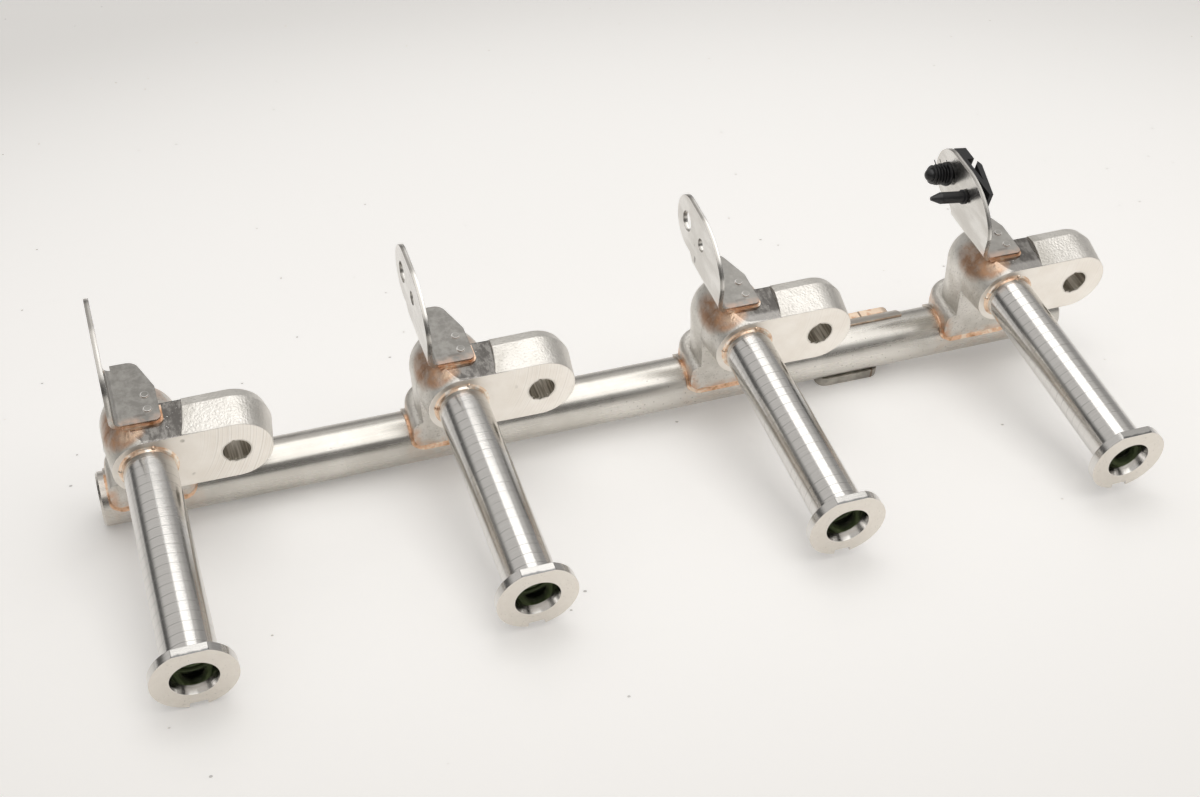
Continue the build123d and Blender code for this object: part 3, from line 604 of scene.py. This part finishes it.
def studFins():  # thin wavy lips on the moulded fins of the clip's stud, with a torn strand on most
    mesh = bmesh.new()
    pose = Matrix.Translation([part * mm for part in stud["place"]])
    pose = pose @ Matrix.Rotation(math.radians(stud["lean"]), 4, "Y")

    def at(shift, reach, angle):
        return mesh.verts.new(pose @ Vector((shift * mm, reach * math.cos(angle) * mm, reach * math.sin(angle) * mm)))

    for i in range(stud["count"]):
        shift = -(stud["first"] + stud["pitch"] * i)
        lips = ((0.0, stud["root"]), (0.0, stud["tip"]), (stud["thick"], stud["tip"]), (stud["thick"], stud["root"]))
        rings = []
        for offset, reach in lips:
            ring = []
            for k in range(stud["sides"]):
                a = 2 * math.pi * k / stud["sides"]
                wave = stud["wave"] * math.sin(stud["waves"] * a + i * 1.7) if reach > stud["root"] else 0.0
                ring.append(at(shift + offset, (reach + wave) * (1 - stud["shrink"] * i), a))
            rings.append(ring)
        for near, far in zip(rings, rings[1:] + rings[:1]):
            for k in range(stud["sides"]):
                mesh.faces.new((near[k], near[(k + 1) % stud["sides"]], far[(k + 1) % stud["sides"]], far[k]))
        if i < stud["strands"]:
            tornStrand(mesh, at, shift, stud["strandSpread"] if i % 2 else -stud["strandSpread"])
    makePiece("stud_fins", mesh, "clip")


def tornStrand(mesh, at, shift, spread):  # a thin four-sided whisker
    a = math.pi / 2 + spread + (random.random() - 0.5) * 0.3
    half = stud["strandWidth"]
    foot = ((0.0, -half), (0.0, half), (0.22, half), (0.22, -half))
    end = ((0.0, -half), (0.0, half), (0.12, half), (0.12, -half))
    root = [at(shift + dx, stud["strandRoot"], a + da) for dx, da in foot]
    over = shift - stud["strandLean"]
    tip = [at(over + dx, stud["strandTip"] + random.random() * 0.5, a + da * 0.4) for dx, da in end]
    for k in range(4):
        mesh.faces.new((root[k], root[(k + 1) % 4], tip[(k + 1) % 4], tip[k]))
    mesh.faces.new(root[::-1])
    mesh.faces.new(tip)


thread = {  # millimetres, on the inlet's own axis
    "x": 71.5, "tilt": 32.0,  # tilt in degrees below straight back
    "radius": 5.02, "depth": 0.55, "pitch": 1.0, "start": 10.6, "end": 18.0,
    "perTurn": 56, "fade": 20,
    "ridge": ((-0.42, 0.0), (-0.07, 1.0), (0.07, 1.0), (0.42, 0.0)),  # along the axis, and share of the depth
}


def inletThread():  # the ridge of the thread, set on the wall of the drilled inlet
    mesh = bmesh.new()
    a = math.radians(thread["tilt"])
    outward, across = Vector((0, math.cos(a), -math.sin(a))), Vector((1, 0, 0))
    third = outward.cross(across)
    origin = Vector((thread["x"] * mm, layout["railY"], layout["railZ"]))
    turns = (thread["end"] - thread["start"]) / thread["pitch"]
    steps = int(turns * thread["perTurn"])
    rows = []
    for i in range(steps + 1):
        angle = 2 * math.pi * i / thread["perTurn"]
        fade = max(0.02, min(1.0, i / thread["fade"], (steps - i) / thread["fade"]))
        middle = thread["start"] + thread["pitch"] * i / thread["perTurn"]
        ray = across * math.cos(angle) + third * math.sin(angle)
        row = []
        for up, inward in thread["ridge"]:
            reach = (thread["radius"] - thread["depth"] * inward * fade) * mm
            row.append(mesh.verts.new(origin + outward * (middle + up) * mm + ray * reach))
        rows.append(row)
    for low, high in zip(rows, rows[1:]):
        for k in range(4):
            mesh.faces.new((low[k], low[(k + 1) % 4], high[(k + 1) % 4], high[k]))
    mesh.faces.new(rows[0][::-1])
    mesh.faces.new(rows[-1])
    makePiece("inlet_thread", mesh, "port")


copperRuns()
studFins()
inletThread()
print("added pieces: copper runs, stud fins, inlet thread")

table = {
    "color": (0.92, 0.905, 0.88), "colorHigh": (0.95, 0.935, 0.915), "rough": 0.38,
    "speck": (0.30, 0.29, 0.28), "speckScale": 85, "speckShare": 0.6,
    "touch": ((-186.3, 17.6, -39.6), (-170, -79, -12.3), (71.5, 14, -41.5)),  # millimetres, where the rail rests
    "corners": 25, "perMetre": (4, 6), "left": 3, "near": 1.2,  # corners each way; left and near in metres
    "glow": (1.0, 0.99, 0.98), "glowBase": 0.055, "glowMiddle": 0.175,
    "glowCentre": (0.02, 0.13), "glowSize": (0.42, 0.32),
    "shadeX": 0.015, "shadeY": 0.016,  # the shaded strip under the rail
    "shadeReach": (0.004, 0.024), "shadeHalf": (0.165, 0.195), "shadeLevel": 0.72,
}


def floorMesh():  # a pale sheet through the three points the rail rests on
    points = [Vector(p) * mm for p in table["touch"]]
    normal = (points[1] - points[0]).cross(points[2] - points[0]).normalized()
    normal = normal if normal.z > 0 else -normal
    across = (Vector((1, 0, 0)) - normal * normal.x).normalized()
    away = normal.cross(across)
    away = away if away.y > 0 else -away
    mesh = bmesh.new()
    rows = []
    perWide, perDeep = table["perMetre"]
    for j in range(table["corners"]):
        back = away * (j / perDeep - table["near"])
        spots = [points[0] + across * (i / perWide - table["left"]) + back for i in range(table["corners"])]
        rows.append([mesh.verts.new(spot) for spot in spots])
    for low, high in zip(rows, rows[1:]):
        for i in range(table["corners"] - 1):
            mesh.faces.new((low[i], low[i + 1], high[i + 1], high[i]))
    data = bpy.data.meshes.new("sweep")
    mesh.to_mesh(data)
    mesh.free()
    return data


def seamlessFloor():
    data = floorMesh()
    floor = bpy.data.objects.new("sweep", data)
    bpy.context.scene.collection.objects.link(floor)
    skin = Finish("painted table")
    specks = skin.step(skin.cells(table["speckScale"]), 0.065, 0.040) * skin.step(skin.noise(25, 1.0), 0.50, 0.56)
    specks = specks * table["speckShare"]
    color = skin.tint(table["color"], table["colorHigh"], skin.noise(3.0, 2.0))
    color = skin.tint(color, table["speck"], specks)
    # the middle of the sweep catches the most light, the strip under the rail the least
    dx = (skin.x - table["glowCentre"][0]) / table["glowSize"][0]
    dy = (skin.y - table["glowCentre"][1]) / table["glowSize"][1]
    glow = skin.step(dx * dx + dy * dy, 1.6, 0.0, 0.0, 1.0)
    beside = skin.step(abs(skin.y - table["shadeY"]), *table["shadeReach"])
    beside = beside.most(skin.step(abs(skin.x + table["shadeX"]), *table["shadeHalf"]))
    level = (table["glowBase"] + table["glowMiddle"] * glow) * (1 - specks)
    level = level * (table["shadeLevel"] + (1 - table["shadeLevel"]) * beside)
    paint = skin.node("ShaderNodeBsdfPrincipled", {}, {
        "Base Color": color, "Roughness": table["rough"],
        "Emission Color": skin.tint((0, 0, 0), table["glow"], level), "Emission Strength": 1.0})
    # the table tilts in this frame, so it is only there from above
    gone = skin.node("ShaderNodeBsdfTransparent", {}, {})
    under = skin.node("ShaderNodeNewGeometry", {}, {}, "Backfacing")
    skin.close("ShaderNodeOutputMaterial", skin.node("ShaderNodeMixShader", {}, {0: under, 1: paint, 2: gone}))
    data.materials.append(skin.material)


studio = {
    "wall": 0.205, "rightWall": 0.165, "backWall": 0.06, "ground": 0.66, "horizon": (0.0, -0.03),
    "ceiling": 0.64, "ceilingEdge": (0.40, 0.66), "ceilingRight": 0.12, "ceilingFront": 0.40, "ceilingBack": 0.22,
    "warmth": (1.0, 0.98, 0.955), "backdrop": (0.84, 0.825, 0.80),
}


def studioLight():  # plain room: dim walls, brighter to the right, a pale ceiling and a pale ground
    world = bpy.data.worlds.new("studio")
    bpy.context.scene.world = world
    world.use_nodes = True
    room = Shader(world.node_tree)
    side, depth, up = room.parts(room.node("ShaderNodeTexCoord", {}, {}, "Generated"))
    wall = studio["wall"] + side * studio["rightWall"] + depth * studio["backWall"]
    lift = up - side * studio["ceilingRight"] - (-depth).most(0.0) * studio["ceilingFront"]
    lift = lift + depth.most(0.0) * studio["ceilingBack"]
    level = wall + (studio["ceiling"] - wall) * room.step(lift, *studio["ceilingEdge"])
    level = level + (studio["ground"] - level) * room.step(up, *studio["horizon"])
    color = room.node("ShaderNodeCombineColor", {}, {i: level * share for i, share in enumerate(studio["warmth"])})
    glow = room.node("ShaderNodeBackground", {}, {0: color})
    plain = room.node("ShaderNodeBackground", {}, {0: studio["backdrop"]})
    seen = room.node("ShaderNodeLightPath", {}, {}, "Is Camera Ray")
    room.close("ShaderNodeOutputWorld", room.node("ShaderNodeMixShader", {}, {0: seen, 1: glow, 2: plain}))


overhead = {
    "place": (0.245, 0.09, 1.25), "target": (0.245, 0.09, 0.0),
    "wide": 0.92, "deep": 2.06, "power": 7.1, "color": (1.0, 0.99, 0.975),
}


def softbox():
    light = bpy.data.lights.new("overhead", "AREA")
    light.shape = "RECTANGLE"
    light.size, light.size_y = overhead["wide"], overhead["deep"]
    light.energy = overhead["power"]
    light.color = overhead["color"]
    lamp = bpy.data.objects.new("overhead", light)
    bpy.context.scene.collection.objects.link(lamp)
    lamp.location = overhead["place"]
    aim = Vector(overhead["target"]) - Vector(overhead["place"])
    lamp.rotation_mode = "QUATERNION"
    lamp.rotation_quaternion = aim.to_track_quat("-Z", "Y")
    lamp.visible_camera = False


view = {
    "lens": 52.046, "sensor": 36.0, "clip": (0.02, 20.0),
    "place": (-0.17534, -0.36410, 0.38742),
    "right": (0.94509861, -0.32211095, 0.05507409),
    "up": (0.19314261, 0.68654543, 0.70096455),
    "back": (-0.26359922, -0.65184347, 0.71106648),
}


def placeCamera():
    camera = bpy.data.cameras.new("view")
    camera.sensor_width = view["sensor"]
    camera.lens = view["lens"]
    camera.clip_start, camera.clip_end = view["clip"]
    body = bpy.data.objects.new("view", camera)
    bpy.context.scene.collection.objects.link(body)
    turn = Matrix((view["right"], view["up"], view["back"])).transposed().to_4x4()
    body.matrix_world = Matrix.Translation(view["place"]) @ turn
    bpy.context.scene.camera = body


seamlessFloor()
studioLight()
softbox()
placeCamera()
bpy.context.scene.view_settings.view_transform = "Standard"
print("stage: floor, light, camera")
